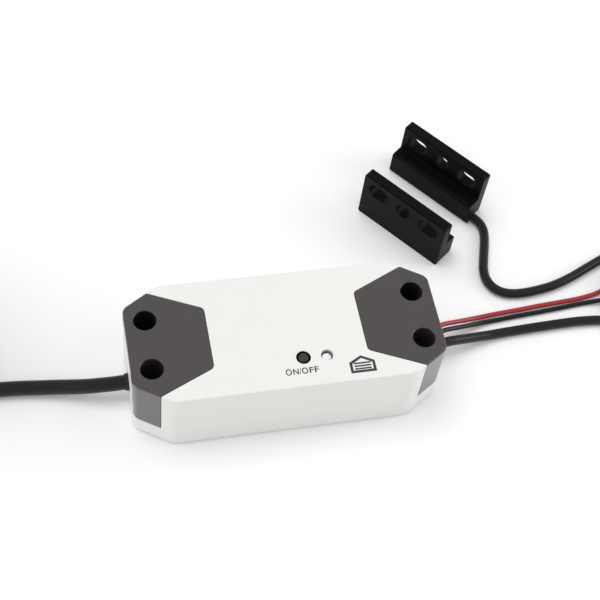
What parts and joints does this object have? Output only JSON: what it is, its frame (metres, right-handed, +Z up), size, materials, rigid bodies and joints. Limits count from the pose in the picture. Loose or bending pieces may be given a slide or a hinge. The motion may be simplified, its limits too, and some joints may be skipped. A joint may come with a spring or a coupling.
{
  "type": "garage door controller",
  "caption": "Small relay box with screw-down end covers, push button and light, a USB power lead, door-opener wires, and a wired reed switch with its magnet.",
  "frame": {"origin": "centre of the relay box's underside, on the surface it rests on", "axes": "+X along the box towards the end where the door wires leave, +Y to its back long side, +Z up; the side with the push button is at -Y"},
  "size_m": [0.3272, 0.1113, 0.024],
  "materials": {
    "white_abs": "satin moulded ABS",
    "grey_abs": "fine matt moulded ABS",
    "zinc_steel": "bright zinc plating",
    "black_plastic": "moulded, slightly glossy",
    "black_rubber": "moulded rubber",
    "button_black": "moulded nylon",
    "bright_steel": "tinned or nickel plated",
    "clear_acrylic": "polished clear acrylic",
    "led_resin": "moulded white body with yellow resin",
    "green_board": "green solder resist",
    "chip_black": "moulded epoxy",
    "capacitor_sleeve": "shrunk sleeve",
    "blue_board": "blue solder resist",
    "relay_blue": "moulded case",
    "cream_nylon": "moulded nylon",
    "copper_wire": "enamelled copper wire",
    "contact_brass": "spring strip",
    "green_plastic": "moulded nylon",
    "lead_red": "PVC insulation",
    "lead_white": "PVC insulation",
    "cord_black": "smooth PVC jacket",
    "tongue_white": "moulded",
    "wire_red": "PVC insulation",
    "wire_black": "PVC insulation",
    "tinned_copper": "tinned strands",
    "sensor_black": "moulded ABS, fine texture",
    "potting_resin": "poured resin",
    "reed_glass": "glass tube",
    "magnet_nickel": "nickel plated"
  },
  "bodies": {
    "controller": {"main_shell": "white_abs", "base_plate": "white_abs", "left_cable_clamp": "black_plastic", "right_cable_clamp": "black_plastic", "power_grommet": "black_rubber", "wire_grommet": "black_rubber", "tact_switch": "black_plastic", "tact_frame": "bright_steel", "tact_dome": "bright_steel", "light_pipe": "clear_acrylic", "status_led": "led_resin", "main_board": "green_board", "small_parts": "chip_black", "capacitors": "capacitor_sleeve", "radio_board": "blue_board", "radio_shield": "bright_steel", "relay_base": "black_plastic", "relay_case": "relay_blue", "relay_bobbin": "cream_nylon", "relay_winding": "copper_wire", "relay_core": "bright_steel", "relay_yoke": "bright_steel", "relay_fixed_contacts": "contact_brass", "power_terminal": "green_plastic", "wire_terminal": "green_plastic", "terminal_screws": "zinc_steel", "terminal_cages": "zinc_steel", "power_leads": "lead_red", "sensor_leads": "lead_white", "power_cord_run": "cord_black", "power_cord_coil": "cord_black", "power_cord_end": "cord_black", "plug_grip": "black_plastic", "plug_shell": "bright_steel", "plug_tongue": "tongue_white", "red_wire_run": "wire_red", "red_wire_coil": "wire_red", "red_wire_tip": "tinned_copper", "black_wire_run": "wire_black", "black_wire_coil": "wire_black", "black_wire_tip": "tinned_copper", "sensor_cord_out": "cord_black", "sensor_cord_coil": "cord_black", "sensor_cord_back": "cord_black", "switch_case": "sensor_black", "switch_potting": "potting_resin", "switch_boot": "black_rubber", "reed_glass": "reed_glass", "reed_blades": "bright_steel"},
    "button": {"button_plunger": "button_black"},
    "left_end_cover": {"left_cover": "grey_abs", "left_cover_screws": "zinc_steel"},
    "right_end_cover": {"right_cover": "grey_abs", "right_cover_screws": "zinc_steel"},
    "armature": {"relay_armature": "bright_steel", "relay_moving_contact": "contact_brass"},
    "magnet": {"magnet_case": "sensor_black", "magnet_bar": "magnet_nickel", "magnet_potting": "potting_resin"}
  },
  "joints": [
    {"name": "button_press", "type": "slide", "parent": "controller", "child": "button", "axis": [0, 0, -1], "range_m": [0, 0.0005], "stiffness_N_per_m": 800, "springref_m": -0.0003},
    {"name": "left_cover_lift", "type": "slide", "parent": "controller", "child": "left_end_cover", "axis": [0, 0, 1], "range_m": [0, 0.025]},
    {"name": "right_cover_lift", "type": "slide", "parent": "controller", "child": "right_end_cover", "axis": [0, 0, 1], "range_m": [0, 0.025]},
    {"name": "armature_pull", "type": "hinge", "parent": "controller", "child": "armature", "pos_m": [-0.0087, 0.0064, 0.0175], "axis": [0, -1, 0], "range_deg": [0, 4], "stiffness_Nm_per_rad": 0.02, "springref_deg": -2.86},
    {"name": "magnet_pass", "type": "slide", "parent": "controller", "child": "magnet", "axis": [-0.6293, 0.7771, 0], "range_m": [0, 0.04]}
  ]
}
